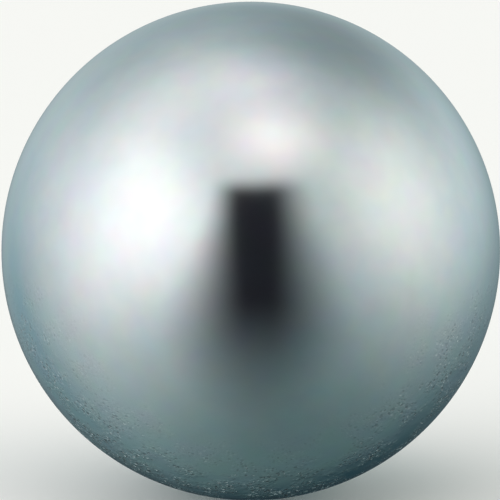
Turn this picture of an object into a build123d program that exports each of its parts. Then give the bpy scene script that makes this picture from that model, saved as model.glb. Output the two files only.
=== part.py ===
from build123d import *
import os

# A plain solid steel ball, in millimetres.
# The origin is the centre of the ball and +Z is up, so every line through the origin is an axis of symmetry.

# Driving dimension
ball_diameter = 25.4

# Worked out from it
ball_radius = ball_diameter / 2
centre = (0, 0)

# Ball: a half disc, straight edge on the Z axis, turned once round that axis.
# Its arc starts at the bottom pole and runs half a turn to the top one, so the solid has one spherical face.
with BuildPart() as ball:
    with BuildSketch(Plane.XZ) as half_disc:
        with BuildLine() as outline:
            meridian = CenterArc(centre, ball_radius, start_angle=-90, arc_size=180)
            Line(meridian @ 1, meridian @ 0)
        make_face()
    revolve(axis=Axis.Z)
ball.part.label = "ball"

os.makedirs("parts", exist_ok=True)
export_step(ball.part, "parts/ball.step")
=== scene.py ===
# %% [markdown]
# # A polished steel ball
#
# The object is one solid piece: a bearing steel ball, ground and lapped until it is round and bright. A
# polished ball has almost no look of its own. What the eye reads as steel is the room, bent into its
# surface. So this lesson makes the skin first, then the steel, then the studio that the steel shows,
# and the camera last.

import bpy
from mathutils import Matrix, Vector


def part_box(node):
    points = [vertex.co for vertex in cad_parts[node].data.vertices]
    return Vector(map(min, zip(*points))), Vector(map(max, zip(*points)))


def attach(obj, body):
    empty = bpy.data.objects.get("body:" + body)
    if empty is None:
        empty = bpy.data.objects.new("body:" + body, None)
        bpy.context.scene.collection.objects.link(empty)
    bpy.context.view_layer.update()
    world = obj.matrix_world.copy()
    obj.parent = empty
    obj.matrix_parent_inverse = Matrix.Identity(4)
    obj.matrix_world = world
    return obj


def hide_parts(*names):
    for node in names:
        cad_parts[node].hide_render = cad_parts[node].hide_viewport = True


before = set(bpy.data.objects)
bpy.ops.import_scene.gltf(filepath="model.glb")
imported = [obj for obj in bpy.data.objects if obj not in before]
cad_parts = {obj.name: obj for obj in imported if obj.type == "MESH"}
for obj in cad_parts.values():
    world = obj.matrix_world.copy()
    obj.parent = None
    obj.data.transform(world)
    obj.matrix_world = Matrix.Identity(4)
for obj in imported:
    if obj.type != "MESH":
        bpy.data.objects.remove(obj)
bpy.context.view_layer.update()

# %% [markdown]
# ## Measures
#
# The measured part gives the ball's radius, and its centre is the origin. The wear, the paper and the
# camera are placed from these two. Only the fine patterns of the finish keep sizes in millimetres, as
# they would on a real ball of any size.

# %% Centre and radius
import math

import bpy
import numpy as np
from mathutils import Matrix, Vector

MM = 0.001
CENTRE = np.zeros(3)
RADIUS = float(np.abs(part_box("ball")).max())
print(f"The ball is {2 * RADIUS / MM:.2f} mm across, and its centre is {CENTRE.tolist()}")

# %% [markdown]
# ## Two helpers for every finish
#
# Colours are written as on a painter's chart, in the coding that screens use, and one function turns
# them into amounts of light. A finish in Blender is a net of nodes. Each node could be made by hand in
# the editor, but here one small function adds it, gives it its settings, and joins it to what feeds it.

# %% Colours and nodes
MIX_A, MIX_B, MIXED = 6, 7, 2  # a Mix node's sockets for colours, whose names other sockets share
PLAIN_A, PLAIN_B = 2, 3  # a Mix node's sockets for plain numbers


def colour(hex_code, strength=1.0):
    """Turn an sRGB hex colour into linear light: a short straight start, then a power curve."""
    channels = np.array([int(hex_code[i:i + 2], 16) for i in (1, 3, 5)]) / 255
    linear = np.where(channels <= 0.04045, channels / 12.92, ((channels + 0.055) / 1.055) ** 2.4)
    return (*(linear * strength).tolist(), 1.0)


def add(tree, kind, inputs=(), out=0, **settings):
    """Add one node and give back one output. Inputs map each socket to a value or to another output."""
    node = tree.nodes.new(kind)
    for name, setting in settings.items():
        setattr(node, name, setting)
    for socket, source in dict(inputs).items():
        if isinstance(source, bpy.types.NodeSocket):
            tree.links.new(source, node.inputs[socket])
        else:
            node.inputs[socket].default_value = source
    return node.outputs[out]


print("Middle grey is", round(colour("#808080")[0], 3), "of the light of white")

# %% [markdown]
# ## The skin of the ball
#
# On the real ball this is one unbroken surface with no seam, flat or pole. A slug of wire is headed
# into a rough ball, its flash is filed off, and it is ground and lapped between plates while it turns
# every way.
#
# It could be made of rings and segments, as on a globe, but they crowd together at two poles, and a
# mirror finish shows that. Here six square grids, one for each side of a cube, are blown out on to the
# sphere instead. Their lines stand at equal angles, so the cells stay nearly the same size, and no
# place on the ball is special.

# %% A sphere of six grids
CELLS_PER_SIDE = 120
SAME_DIGITS = 7  # points of a ball of radius 1 that agree to this many decimals are one point


def ball_skin(centre, radius, cells):
    """Points and four-sided faces of a sphere.

    On one side of a cube, u and v run from -1 to 1 and the point is (tan(45u), tan(45v), 1), with angles
    in degrees. Each point is then pulled straight in to the radius. Points on the cube's edges are
    merged, so that its sides share them.
    """
    steps = np.tan(np.linspace(-1, 1, cells + 1) * math.pi / 4)
    across, along = np.meshgrid(steps, steps, indexing="ij")
    side = np.stack([across, along, np.ones_like(across)], axis=-1).reshape(-1, 3)
    first = (np.arange(cells)[:, None] * (cells + 1) + np.arange(cells)).ravel()
    cell = np.stack([first, first + cells + 1, first + cells + 2, first + 1], axis=1)
    points = []
    faces = []
    for axis in range(3):
        turned = np.roll(side, axis, axis=1)
        points += [turned, -turned]
        faces += [cell + 2 * axis * len(side), cell[:, ::-1] + (2 * axis + 1) * len(side)]
    points = np.concatenate(points)
    points /= np.linalg.norm(points, axis=1, keepdims=True)
    places = points.round(SAME_DIGITS)
    _, kept, shared = np.unique(places, axis=0, return_index=True, return_inverse=True)
    return centre + radius * points[kept], shared.ravel()[np.concatenate(faces)]


skin_points, skin_faces = ball_skin(CENTRE, RADIUS, CELLS_PER_SIDE)
print(len(skin_points), "points and", len(skin_faces), "faces")

# %% [markdown]
# The points and faces go into a mesh, shaded smooth, with its object left at the origin. A mirror
# turned inside out still looks like a mirror, so the way the faces point is counted and not judged by
# eye.

# %% The skin as a mesh
ball_mesh = bpy.data.meshes.new("ball_skin")
ball_mesh.from_pydata(skin_points.tolist(), [], skin_faces.tolist())
ball_mesh.shade_smooth()
ball = bpy.data.objects.new("ball_skin", ball_mesh)
bpy.context.scene.collection.objects.link(ball)

spokes = skin_points[skin_faces] - CENTRE
face_turn = np.cross(spokes[:, 1] - spokes[:, 0], spokes[:, 2] - spokes[:, 0])
outward = int((np.einsum("ij,ij->i", face_turn, spokes[:, 0]) > 0).sum())
print(outward, "of", len(skin_faces), "faces point outwards")

# %% [markdown]
# ## Dress the measured ball
#
# The measured ball stays in the model as the solid that rolls and is weighed. The skin rides with it
# and is shown in its place, in the same finish.

# %% Put the skin in place of the measured ball
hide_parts("ball")
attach(ball, "root")
print("The skin stands for the measured ball")

# %% [markdown]
# ## The finish: lapped bearing steel
#
# The real surface is bare chrome steel, hardened through and lapped with a fine paste. It gives the eye
# a cool white mirror that is very slightly soft. Chrome plate would be too sharp a mirror, and a
# brushed finish too streaky, because a lapped ball is turned every way and its scratches point nowhere.
#
# Everything below reads Object coordinates, so that the pattern is fixed to the steel and turns with
# it.

# %% Bare steel
STEEL = colour("#c2c8cb")
STEEL_SHADE = colour("#bec6ca")

steel = bpy.data.materials.new("lapped_bearing_steel")  # a cool, very slightly soft mirror
steel.use_nodes = True
finish = steel.node_tree
shader = finish.nodes["Principled BSDF"]
shader.inputs["Metallic"].default_value = 1.0
ball_mesh.materials.append(steel)
on_ball = add(finish, "ShaderNodeTexCoord", out="Object")
print("Started the finish", steel.name)

# %% [markdown]
# ### Lapping clouds
#
# The paste cuts a little more in one place than in another. On the real ball that leaves clouds a few
# millimetres wide, where the mirror is a trace softer or darker, and a still fainter play of colour. A
# brush texture could paint them, but soft noise at their real size does the same with nothing to line
# up.

# %% Clouds in colour and gloss
CLOUD_SIZE = 4 * MM
TINT_SIZE = 1.5 * MM
TINT_SHARE = 0.12  # how strongly the play of colour lies over the steel
CLOUD_DETAIL, TINT_DETAIL = 3.0, 2.0
CLOUD_RANGE = (0.3, 0.7)  # noise seldom leaves this range
GLOSSY, LESS_GLOSSY = 0.115, 0.13

cloud = add(finish, "ShaderNodeTexNoise",
            {"Vector": on_ball, "Scale": 1 / CLOUD_SIZE, "Detail": CLOUD_DETAIL})
tint = add(finish, "ShaderNodeTexNoise",
           {"Vector": on_ball, "Scale": 1 / TINT_SIZE, "Detail": TINT_DETAIL}, "Color")
clouded = add(finish, "ShaderNodeMix", {0: cloud, MIX_A: STEEL, MIX_B: STEEL_SHADE}, MIXED,
              data_type="RGBA")
clean_colour = add(finish, "ShaderNodeMix", {0: TINT_SHARE, MIX_A: clouded, MIX_B: tint}, MIXED,
                   data_type="RGBA", blend_type="OVERLAY")
clean_roughness = add(finish, "ShaderNodeMapRange",
                      {"Value": cloud, "From Min": CLOUD_RANGE[0], "From Max": CLOUD_RANGE[1],
                       "To Min": GLOSSY, "To Max": LESS_GLOSSY})
print("Clouds", round(CLOUD_SIZE / MM, 1), "mm wide, tints", round(TINT_SIZE / MM, 1), "mm wide")

# %% [markdown]
# ### Where the ball has lain
#
# A ball that lies in a tray or a cup touches it low down, and there it picks up specks and pits. In the
# picture they start a little below the middle, grow towards the bottom, and are thickest round the
# back. One number says how worn a place is: it grows from the middle down to the lowest point, and from
# the front round to the back.

# %% How worn each place is
LAIN_FROM, LAIN_TO = 0.0, -0.90 * RADIUS
FRONT_CLEAN, BACK_WORN = -0.85 * RADIUS, -0.40 * RADIUS
WEAR_PATCH_SIZE = 1.5 * MM
WEAR_PATCH_DETAIL = 2.0
PATCH_EDGE = (0.35, 0.60)  # the noise levels at which a patch of wear begins and is full

depth = add(finish, "ShaderNodeSeparateXYZ", {"Vector": on_ball}, "Y")
upright = depth.node.outputs["Z"]
low = add(finish, "ShaderNodeMapRange",
          {"Value": upright, "From Min": LAIN_FROM, "From Max": LAIN_TO})
behind = add(finish, "ShaderNodeMapRange",
             {"Value": depth, "From Min": FRONT_CLEAN, "From Max": BACK_WORN},
             interpolation_type="SMOOTHSTEP")
lain = add(finish, "ShaderNodeMath", {0: low, 1: behind}, operation="MULTIPLY")
patchy = add(finish, "ShaderNodeTexNoise",
             {"Vector": on_ball, "Scale": 1 / WEAR_PATCH_SIZE, "Detail": WEAR_PATCH_DETAIL})
patches = add(finish, "ShaderNodeMapRange",
              {"Value": patchy, "From Min": PATCH_EDGE[0], "From Max": PATCH_EDGE[1]},
              interpolation_type="SMOOTHSTEP")
worn = add(finish, "ShaderNodeMath", {0: lain, 1: patches}, operation="MULTIPLY")
print("Wear grows from the middle down to", round(LAIN_TO / MM, 1), "mm")

# %% [markdown]
# ### Specks and pits
#
# Real pits on a lapped ball are a few hundredths of a millimetre wide, less than one dot of this
# picture, so they are drawn up to two tenths of a millimetre wide, as coarse as it takes to show them.
# Each cell of a Voronoi pattern holds one speck. Fine noise bends the pattern so that the specks come
# out ragged. Each cell also has a random colour of its own, which sets how large its speck is and
# whether it is a dark pit or a light grain of dust.

# %% One ragged speck in each cell
SPECK_SPACING = 0.22 * MM
RAGGED_SIZE = 0.10 * MM
RAGGED_DETAIL = 1.0
RAGGED_REACH = 0.10 * MM
SPECK_SHARE = (0.10, 0.55)  # smallest and largest speck, as shares of the spacing
SPECK_CORE = 0.7  # the solid middle of a speck, as a share of its size
DUST_FROM = 0.6  # a cell that draws more than this holds dust, and the others hold a pit

bends = add(finish, "ShaderNodeTexNoise",
            {"Vector": on_ball, "Scale": 1 / RAGGED_SIZE, "Detail": RAGGED_DETAIL}, "Color")
ragged = add(finish, "ShaderNodeVectorMath", {0: bends, 1: (RAGGED_REACH,) * 3, 2: on_ball},
             operation="MULTIPLY_ADD")
from_speck = add(finish, "ShaderNodeTexVoronoi",
                 {"Vector": ragged, "Scale": 1 / SPECK_SPACING}, "Distance")
draw = add(finish, "ShaderNodeSeparateColor", {"Color": from_speck.node.outputs["Color"]}, "Red")
edge = add(finish, "ShaderNodeMapRange",
           {"Value": draw.node.outputs["Green"], "To Min": SPECK_SHARE[0], "To Max": SPECK_SHARE[1]})
core = add(finish, "ShaderNodeMath", {0: edge, 1: SPECK_CORE}, operation="MULTIPLY")
speck = add(finish, "ShaderNodeMapRange", {"Value": from_speck, "From Min": edge, "From Max": core},
            interpolation_type="SMOOTHSTEP")
speck = add(finish, "ShaderNodeMath", {0: speck, 1: worn}, operation="MULTIPLY")
is_dust = add(finish, "ShaderNodeMath", {0: draw, 1: DUST_FROM}, operation="GREATER_THAN")
print("One speck for each", round(SPECK_SPACING / MM, 2), "mm")

# %% [markdown]
# ### Join the finish
#
# Pits are stained with dark oxide and dust is light. Between them the worn steel is faintly frosted,
# light and dark, with grains that are again drawn coarser than real ones, so that they show. The layers
# are laid one over the other: clean steel, then frost, then specks.

# %% Colours of wear
OXIDE = colour("#1c2224")
DUST = colour("#f0f4f4")
FROST_SIZE = 0.14 * MM
FROST_DETAIL = 2.0
FROST_RANGE = (0.35, 0.65)
FROST_SHARE = 0.35  # how strongly frost covers fully worn steel

frost = add(finish, "ShaderNodeTexNoise",
            {"Vector": on_ball, "Scale": 1 / FROST_SIZE, "Detail": FROST_DETAIL})
frost_tone = add(finish, "ShaderNodeMapRange",
                 {"Value": frost, "From Min": FROST_RANGE[0], "From Max": FROST_RANGE[1]})
frost_colour = add(finish, "ShaderNodeMix", {0: frost_tone, MIX_A: OXIDE, MIX_B: DUST}, MIXED,
                   data_type="RGBA")
frost_part = add(finish, "ShaderNodeMath", {0: worn, 1: FROST_SHARE}, operation="MULTIPLY")
frosted_colour = add(finish, "ShaderNodeMix",
                     {0: frost_part, MIX_A: clean_colour, MIX_B: frost_colour}, MIXED, data_type="RGBA")
speck_colour = add(finish, "ShaderNodeMix", {0: is_dust, MIX_A: OXIDE, MIX_B: DUST}, MIXED,
                   data_type="RGBA")
final_colour = add(finish, "ShaderNodeMix",
                   {0: speck, MIX_A: frosted_colour, MIX_B: speck_colour}, MIXED, data_type="RGBA")
finish.links.new(final_colour, shader.inputs["Base Color"])
print("Frost grains", round(FROST_SIZE / MM, 2), "mm wide")

# %% [markdown]
# Neither pits nor dust mirror well, so specks are rougher than the steel. They lie a little below the
# surface, and frost stands a little above it. These heights could be cut into the mesh, but they are
# far too small to be shape, so they go through a Bump node.

# %% Gloss and height of wear
SPECK_ROUGHNESS = 0.45
SPECK_HEIGHT = -0.6  # as a share of the relief, so below the surface
RELIEF = 0.06 * MM

final_roughness = add(finish, "ShaderNodeMix",
                      {0: speck, PLAIN_A: clean_roughness, PLAIN_B: SPECK_ROUGHNESS})
frost_height = add(finish, "ShaderNodeMath", {0: frost, 1: worn}, operation="MULTIPLY")
relief = add(finish, "ShaderNodeMath", {0: speck, 1: SPECK_HEIGHT, 2: frost_height},
             operation="MULTIPLY_ADD")
surface = add(finish, "ShaderNodeBump", {"Height": relief, "Distance": RELIEF, "Strength": 1.0})
finish.links.new(final_roughness, shader.inputs["Roughness"])
finish.links.new(surface, shader.inputs["Normal"])
print("The finish", steel.name, "has", len(finish.nodes), "nodes")

# %% [markdown]
# ## The paper floor
#
# The ball lies on a plain sheet of pale matt paper. A flat sheet would end in a hard horizon, so here
# the paper is flat under the ball and curves up into a wall far behind it, and it does so all the way
# round, because the ball is looked at from every side. The profile of the sheet is turned once round
# the upright line through the ball.

# %% The profile, turned once round
FLAT_REACH = 40 * RADIUS
BEND_RADIUS = 12 * RADIUS
WALL_HEIGHT = 30 * RADIUS
BEND_STEPS = 24
ROUND_STEPS = 128


def paper_bowl(foot):
    """Points and faces of the sheet: a profile turned once round an upright line through the foot.

    The profile goes straight out over the flat, then a quarter circle up, where the distance out grows
    by the sine of the angle and the height by one less its cosine, and then straight up the wall. One
    flat face closes the innermost ring.
    """
    bend = np.linspace(0, math.pi / 2, BEND_STEPS)
    bend_out = FLAT_REACH + BEND_RADIUS * np.sin(bend)
    bend_up = BEND_RADIUS * (1 - np.cos(bend))
    out = np.concatenate([[RADIUS, FLAT_REACH / 2], bend_out, bend_out[-1:]])
    up = np.concatenate([[0, 0], bend_up, bend_up[-1:] + WALL_HEIGHT])
    angle = np.arange(ROUND_STEPS) * 2 * math.pi / ROUND_STEPS
    rings = [out[:, None] * np.cos(angle), out[:, None] * np.sin(angle), up[:, None] + 0 * angle]
    here = np.arange(ROUND_STEPS)
    ahead = (here + 1) % ROUND_STEPS
    inner = np.arange(len(out) - 1)[:, None] * ROUND_STEPS
    outer = inner + ROUND_STEPS
    bands = np.stack([inner + here, outer + here, outer + ahead, inner + ahead], axis=-1)
    faces = [here.tolist()] + bands.reshape(-1, 4).tolist()
    return np.stack(rings, axis=-1).reshape(-1, 3) + foot, faces


foot = CENTRE - (0, 0, RADIUS)
bowl_points, bowl_faces = paper_bowl(foot)
print("The paper is flat for", round(FLAT_REACH / MM), "mm each way")

# %% [markdown]
# The sheet is part of the stage and not of the object. In the picture the ball shows a dim floor and
# not a white one, so it can't have stood on white paper when the picture was taken. The sheet is
# therefore kept out of the ball's reflections, which show the floor of the light tent further on, and
# it throws no light or shade of its own.

# %% The sheet and its paper
PAPER = colour("#f6f6f4")
PAPER_ROUGHNESS = 0.9

bowl_mesh = bpy.data.meshes.new("paper_sweep")
bowl_mesh.from_pydata(bowl_points.tolist(), [], bowl_faces)
bowl_mesh.shade_smooth()
paper_sweep = bpy.data.objects.new("paper_sweep", bowl_mesh)
bpy.context.scene.collection.objects.link(paper_sweep)
paper_sweep.visible_glossy = False
paper_sweep.visible_diffuse = False
paper_sweep.visible_shadow = False

paper = bpy.data.materials.new("matt_paper")  # no gloss at all, so that only the ball shines
paper.use_nodes = True
sheet = paper.node_tree.nodes["Principled BSDF"]
sheet.inputs["Base Color"].default_value = PAPER
sheet.inputs["Roughness"].default_value = PAPER_ROUGHNESS
sheet.inputs["Specular IOR Level"].default_value = 0.0
bowl_mesh.materials.append(paper)
print("The sheet has", len(bowl_faces), "faces")

# %% [markdown]
# ## The light tent
#
# Shiny things are photographed inside a tent of white cloth, lit from outside, with a slit for the
# lens. Everything that the ball shows is on the inside of that tent. It could be built of cloth and
# lamps round the ball, but all that matters is how bright the tent looks in each direction, so it is
# painted on Blender's world, which surrounds the ball at no distance that matters.
#
# Directions are given as in a studio: the azimuth is how far round to the right of the camera, and the
# height how far above level, both in degrees.

# %% Azimuth and height of a direction
world = bpy.data.worlds.new("light_tent")
bpy.context.scene.world = world
world.use_nodes = True
tent = world.node_tree
towards = add(tent, "ShaderNodeTexCoord", out="Generated")
east = add(tent, "ShaderNodeSeparateXYZ", {"Vector": towards}, "X")
south = add(tent, "ShaderNodeMath", {0: east.node.outputs["Y"], 1: -1.0}, operation="MULTIPLY")
azimuth_turn = add(tent, "ShaderNodeMath", {0: east, 1: south}, operation="ARCTAN2")
azimuth = add(tent, "ShaderNodeMath", {0: azimuth_turn}, operation="DEGREES")
height_turn = add(tent, "ShaderNodeMath", {0: east.node.outputs["Z"]}, operation="ARCSINE")
height = add(tent, "ShaderNodeMath", {0: height_turn}, operation="DEGREES")
print("The camera is at azimuth 0, right is 90 and straight up is height 90")

# %% [markdown]
# ### The cloth
#
# The roof of the tent is white cloth near the lamps. The walls are the same cloth further from the
# light, and the floor is dimmer still, with a trace of green. Straight down the floor is darkest: that
# is painted shade, the ball's own shade on the floor round its foot. The dim floor and this painted
# shade give the ball its cool teal lower half. The colours run into each other without an edge.

# %% From the floor to the roof
# the colour straight down: dim teal floor cloth with the painted shade of the ball round its foot
SHADED_FLOOR_CLOTH = colour("#486c6c")
WALL_CLOTH = colour("#6a9096")
ROOF_CLOTH = colour("#f0f0f4")
FLOOR_END, WALL_START = -90.0, 10.0
WALL_END, ROOF_START = 52.0, 95.0  # straight up is 90, so the roof never quite reaches its full white

up_to_wall = add(tent, "ShaderNodeMapRange",
                 {"Value": height, "From Min": FLOOR_END, "From Max": WALL_START},
                 interpolation_type="SMOOTHSTEP")
up_to_roof = add(tent, "ShaderNodeMapRange",
                 {"Value": height, "From Min": WALL_END, "From Max": ROOF_START},
                 interpolation_type="SMOOTHSTEP")
low_cloth_and_shade = add(tent, "ShaderNodeMix", {0: up_to_wall, MIX_A: SHADED_FLOOR_CLOTH, MIX_B: WALL_CLOTH}, MIXED,
                data_type="RGBA")
cloth_and_shade = add(tent, "ShaderNodeMix", {0: up_to_roof, MIX_A: low_cloth_and_shade, MIX_B: ROOF_CLOTH}, MIXED,
            data_type="RGBA")
print("The walls are plain from height", WALL_START, "to", WALL_END, "and whiten above that")

# %% [markdown]
# ### Soft patches
#
# A lamp behind cloth shows as a soft patch that is brightest in the middle. A card shows as the same
# kind of patch, but takes light away. Lamps of Blender's own would show hard edges in a mirror, so each
# patch is a bell curve: the light halves at one half width from the middle and falls to a sixteenth at
# two. A Mapping node moves, turns and stretches the direction so that the distance is counted in half
# widths.

# %% One soft patch of the tent
def soft_patch(middle, height_up, half_wide, half_tall, lean):
    """How strongly each direction lies in a patch: one half to the power of its squared distance.

    The distance from the middle is counted in half widths. The middle is an azimuth, the half widths are
    angles, and the lean turns the patch about its own middle.
    """
    turn = (Matrix.Rotation(math.radians(middle), 3, "Z")
            @ Matrix.Rotation(math.radians(-height_up), 3, "X")
            @ Matrix.Rotation(math.radians(-lean), 3, "Y"))
    width, tallness = (2 * math.sin(math.radians(half) / 2) for half in (half_wide, half_tall))
    inside = add(tent, "ShaderNodeMapping",
                 {"Vector": towards, "Location": turn @ Vector((0, -1, 0)), "Rotation": turn.to_euler(),
                  "Scale": (width, math.sqrt(width * tallness), tallness)}, vector_type="TEXTURE")
    squared = add(tent, "ShaderNodeVectorMath", {0: inside, 1: inside}, "Value", operation="DOT_PRODUCT")
    return add(tent, "ShaderNodeMath", {0: 0.5, 1: squared}, operation="POWER")


print("A patch keeps a half of its light at one half width and", 0.5 ** 4, "at two")

# %% [markdown]
# ### Lamps
#
# Two big softboxes stand left and right of the camera and make the two broad bands of light. A lamp
# hangs overhead, and a dimmer glow lies high on the left. Light that reaches the back of the tent shows
# at the ball's rim, and the floor on the left throws a little teal light up again. Their places were
# found by setting renders beside the picture, and are kept as plain numbers, as a studio hand would
# note them. Less light comes through the cloth near the floor, so every lamp is dimmed low down.

# %% Lamps behind the cloth
LAMPS = {  # azimuth, height, half width, half height, lean, colour with strength
    "left softbox": (-60, 1, 55, 40, 35, colour("#fff1ec", 1.73)),
    "glow high on the left": (-85, 55, 50, 20, -30, colour("#fff0ea", 0.65)),
    "right softbox": (80, 15, 35, 40, -10, colour("#fff0e5", 1.3)),
    "overhead lamp": (18, 60, 16, 13, 0, colour("#ffe4dc", 1.05)),
    "glow behind on the left": (-145, 6, 20, 60, -60, colour("#fffafa", 0.39)),
    "glow behind on the right": (140, 8, 20, 40, -60, colour("#f8ffff", 0.48)),
    "glow right behind": (180, 5, 25, 12, 0, colour("#ffffff", 0.08)),
    "bounce off the floor, left": (-95, -55, 30, 25, 0, colour("#60ffff", 0.1)),
}
DIM_FROM, DIM_TO = 35.0, -40.0
DIM_SHARE = 0.55

low_down = {"Value": height, "From Min": DIM_FROM, "From Max": DIM_TO,
            "To Min": 1.0, "To Max": DIM_SHARE}
dimming = add(tent, "ShaderNodeMapRange", low_down, interpolation_type="SMOOTHSTEP")
light = cloth_and_shade
for *where, glow in LAMPS.values():
    share = add(tent, "ShaderNodeMath", {0: soft_patch(*where), 1: dimming}, operation="MULTIPLY")
    lit = add(tent, "ShaderNodeVectorMath", {0: glow[:3], "Scale": share}, operation="SCALE")
    light = add(tent, "ShaderNodeVectorMath", {0: light, 1: lit}, operation="ADD")
print("Lamps:", ", ".join(LAMPS))

# %% [markdown]
# ### Dark cards and painted shadow
#
# Dark cards give a shiny thing its edge, because without them its rim melts into the background. Two
# dark patches are painted shadow and not cards: the ball's own shadow on the floor low behind it, which
# darkens its lower rim, and a smaller patch of it right behind its foot. A grey card is high on the
# right. A pale blue one, low behind on the left, makes the bluish band that the picture shows there.
# Each patch multiplies the light by its own colour, as a sheet held in front of the cloth would.

# %% Cards and painted shadow that take light away
CARDS_AND_SHADOWS = {  # azimuth, height, half width, half height, lean, colour
    # painted shadow: the ball's own shadow on the floor low behind it, which darkens its lower rim
    "painted shadow, low behind": (170, -35, 25, 20, 0, colour("#607a84")),
    # painted shadow: the deepest shade on the floor right behind the ball's foot
    "painted shadow behind the foot": (180, -21, 12, 10, 0, colour("#687078")),
    "grey, high on the right": (165, 27, 30, 15, -50, colour("#c8c8c8")),
    "blue, low behind on the left": (-140, -20, 15, 20, 0, colour("#dcf0f6")),
}

for *where, card_and_shadow_colour in CARDS_AND_SHADOWS.values():
    light = add(tent, "ShaderNodeMix", {0: soft_patch(*where), MIX_A: light, MIX_B: card_and_shadow_colour}, MIXED,
                data_type="RGBA", blend_type="MULTIPLY")
print("Cards:", ", ".join(CARDS_AND_SHADOWS))

# %% [markdown]
# ### The slit for the lens
#
# The camera looks in through a slit in the cloth, and the dark room behind the slit is the dark upright
# strip in the middle of the ball. Its edges are soft, because the cloth hangs in folds there, and the
# strip is softer and wider low down. Each edge runs straight up and down at its top and at its foot, and
# slants between two heights. On either side the strip fades in from the outer edge to the inner one.

# %% Edges of the slit
LOW_LINE, HIGH_LINE = -30.0, 25.0  # below and above these heights the edges run straight up and down
SLIT_EDGES = {  # azimuth at the low line and at the high line
    "left outer": (-50, -25),
    "left inner": (1, -6),
    "right inner": (7, 10),
    "right outer": (57, 36),
}

edges = {}
for name, (low_at, high_at) in SLIT_EDGES.items():
    edges[name] = add(tent, "ShaderNodeMapRange",
                      {"Value": height, "From Min": LOW_LINE, "From Max": HIGH_LINE,
                       "To Min": low_at, "To Max": high_at})
print("Worked out", len(edges), "slanting edges")

# %% [markdown]
# The strip fades four ways: in from the left, in from the right, quickly out at its top, and slowly out
# towards the floor. Each fade is a smooth step, and how dark a direction is follows from all four
# multiplied together.

# %% The dark strip between the edges
SLIT_TOP = (35.0, 45.0)  # dark below the first height and gone above the second
SLIT_FOOT = (-85.0, -10.0)  # gone at the first height and dark above the second
DARK_ROOM = colour("#26262c")

fades = [
    {"Value": azimuth, "From Min": edges["left outer"], "From Max": edges["left inner"]},
    {"Value": azimuth, "From Min": edges["right outer"], "From Max": edges["right inner"]},
    {"Value": height, "From Min": SLIT_TOP[1], "From Max": SLIT_TOP[0]},
    {"Value": height, "From Min": SLIT_FOOT[0], "From Max": SLIT_FOOT[1]},
]
slit = 1.0
for fade in fades:
    faded = add(tent, "ShaderNodeMapRange", fade, interpolation_type="SMOOTHSTEP")
    slit = add(tent, "ShaderNodeMath", {0: faded, 1: slit}, operation="MULTIPLY")
light = add(tent, "ShaderNodeMix", {0: slit, MIX_A: light, MIX_B: DARK_ROOM}, MIXED, data_type="RGBA")
tent.links.new(light, tent.nodes["Background"].inputs["Color"])
print("The tent has", len(tent.nodes), "nodes")

# %% [markdown]
# ## The camera
#
# The picture shows the ball a little from above and so large that it touches the frame on all sides. A
# ball looks round from anywhere, so only the bent room tells where the camera stood. It stands well
# back, as with a long lens. The lens follows from the sight line that just touches the ball, and the
# ball's place in the frame from the shift.

# %% Place the camera and work out its lens
CAMERA_HEIGHT_DEG = 10
CAMERA_DISTANCE = 16 * RADIUS
PICTURE_PIXELS = 500
BALL_RADIUS_PIXELS = 249.4
BALL_CENTRE_PIXELS = (250.8, 251.0)
NEAREST, FARTHEST = 0.1 * RADIUS, 400 * RADIUS

camera_data = bpy.data.cameras.new("camera")
camera = bpy.data.objects.new("camera", camera_data)
bpy.context.scene.collection.objects.link(camera)
bpy.context.scene.camera = camera
rise = math.radians(CAMERA_HEIGHT_DEG)
back = Vector((0, -math.cos(rise), math.sin(rise)))
camera.location = Vector(CENTRE) + back * CAMERA_DISTANCE
camera.rotation_euler = (-back).to_track_quat("-Z", "Y").to_euler()
edge_slope = RADIUS / math.sqrt(CAMERA_DISTANCE ** 2 - RADIUS ** 2)
half_picture = edge_slope * PICTURE_PIXELS / 2 / BALL_RADIUS_PIXELS
camera_data.lens = camera_data.sensor_width / 2 / half_picture
camera_data.shift_x = (PICTURE_PIXELS / 2 - BALL_CENTRE_PIXELS[0]) / PICTURE_PIXELS
camera_data.shift_y = (BALL_CENTRE_PIXELS[1] - PICTURE_PIXELS / 2) / PICTURE_PIXELS
camera_data.clip_start = NEAREST
camera_data.clip_end = FARTHEST
print("The lens is", round(camera_data.lens), "mm, from", round(CAMERA_DISTANCE / MM), "mm away")

# %% [markdown]
# ## Plain colours
#
# The Standard view shows each colour as it was written.

# %% View
bpy.context.scene.view_settings.view_transform = "Standard"
